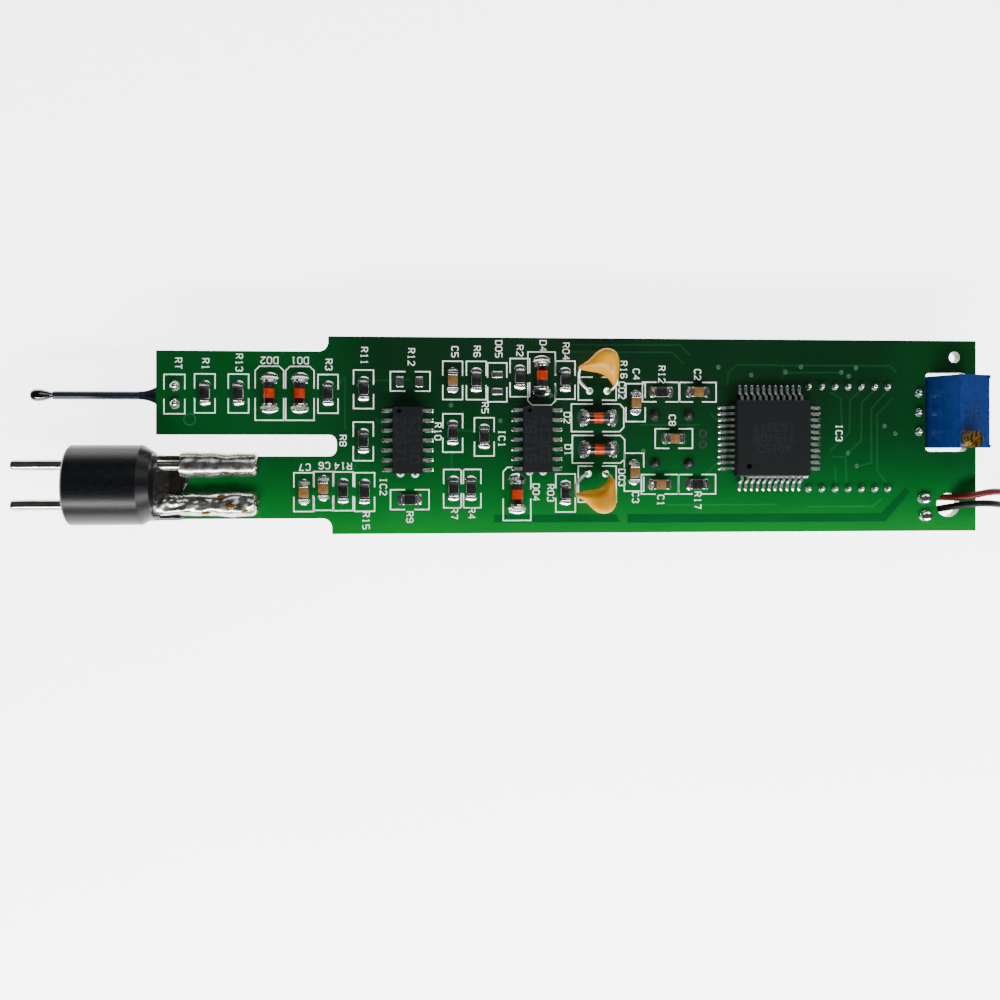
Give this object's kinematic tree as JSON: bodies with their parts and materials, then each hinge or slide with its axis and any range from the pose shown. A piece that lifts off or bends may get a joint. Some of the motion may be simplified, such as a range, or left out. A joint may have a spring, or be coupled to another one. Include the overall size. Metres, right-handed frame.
{
  "type": "water tester circuit board assembly",
  "caption": "Bare circuit board of a pen-type water tester: twin-pin probe in a black holder, bead thermistor, adjusting screw, display, push switch and battery leads.",
  "frame": {"origin": "X midway between the probe tips and the board's far edge, Y on the board's middle line, Z on the surface that the display's face lies on", "axes": "+X from the probe to the battery leads, +Y across the board, +Z from the display side to the component side"},
  "size_m": [0.1543, 0.0254, 0.0132],
  "materials": {
    "fr4": "glossy green solder mask",
    "solder": "bright tin-lead solder",
    "tin": "matt tinned copper",
    "steel": "polished stainless steel",
    "rubber": "satin black rubber",
    "epoxy_black": "black potting",
    "glass_bead": "black epoxy bead",
    "sleeve": "dark blue sleeving",
    "chip_black": "chip resistor glaze",
    "ceramic_tan": "sintered ceramic",
    "diode_glass": "orange glass",
    "mould": "moulding compound",
    "lacquer": "orange-yellow lacquer",
    "blue": "moulded blue",
    "seal": "cast resin",
    "brass": "turned brass",
    "nylon": "natural nylon",
    "alumina": "fired alumina",
    "lcd_glass": "float glass",
    "polariser": "film",
    "switch_black": "moulded black",
    "pvc_red": "red insulation",
    "pvc_black": "black insulation",
    "tie": "white band"
  },
  "bodies": {
    "board_assembly": {"circuit_board": "fr4", "electrode_upper": "steel", "electrode_lower": "steel", "probe_holder": "rubber", "probe_potting": "epoxy_black", "electrode_solder_upper": "solder", "electrode_solder_lower": "solder", "thermistor_bead": "glass_bead", "thermistor_sleeve": "sleeve", "thermistor_wire_1": "tin", "thermistor_wire_2": "tin", "thermistor_joints": "solder", "chip_resistors": "chip_black", "chip_capacitors": "ceramic_tan", "amplifier_left_body": "mould", "amplifier_right_body": "mould", "amplifier_left_leads": "tin", "amplifier_right_leads": "tin", "controller_body": "mould", "controller_leads": "tin", "dipped_capacitor_upper": "lacquer", "dipped_capacitor_lower": "lacquer", "dipped_capacitor_upper_leads": "tin", "dipped_capacitor_lower_leads": "tin", "trimmer_housing": "blue", "trimmer_base": "seal", "trimmer_axle": "steel", "trimmer_element": "alumina", "trimmer_leads": "tin", "trimmer_joints": "solder", "display_front_polariser": "polariser", "display_front_glass": "lcd_glass", "display_rear_glass": "lcd_glass", "display_reflector": "polariser", "display_pins": "tin", "display_joints": "solder", "switch_base": "switch_black", "switch_dome": "steel", "switch_cover": "steel", "switch_legs": "tin", "switch_joints": "solder", "battery_joints": "solder", "battery_lead_root_black": "pvc_black", "battery_lead_root_red": "pvc_red", "battery_lead_black": "pvc_black", "battery_lead_red": "pvc_red", "lead_hank": "pvc_black", "lead_tie": "tie", "tinned_end_red": "tin", "tinned_end_black": "tin", "diode_a": "diode_glass", "diode_b": "diode_glass", "diode_c": "diode_glass", "diode_d": "diode_glass", "diode_e": "diode_glass", "diode_f": "diode_glass"},
    "trimmer_screw_body": {"trimmer_screw": "brass"},
    "trimmer_rotor_body": {"trimmer_rotor": "nylon", "trimmer_wiper": "brass"},
    "switch_plunger_body": {"switch_plunger": "switch_black"}
  },
  "joints": [
    {"name": "adjusting_screw_turn", "type": "hinge", "parent": "board_assembly", "child": "trimmer_screw_body", "pos_m": [0.05771, -0.00047, 0.00657], "axis": [0.2924, 0, 0.9563], "continuous": true},
    {"name": "rotor_turn", "type": "hinge", "parent": "board_assembly", "child": "trimmer_rotor_body", "pos_m": [0.05764, 0.00334, 0.00633], "axis": [0.9563, 0, -0.2924], "continuous": true},
    {"name": "switch_press", "type": "slide", "parent": "board_assembly", "child": "switch_plunger_body", "axis": [0, 0, 1], "range_m": [0, 0.00025], "stiffness_N_per_m": 2000, "springref_m": -0.0002}
  ],
  "couplings": [
    {"joint": "rotor_turn", "follows": "adjusting_screw_turn", "ratio": 0.035714}
  ]
}
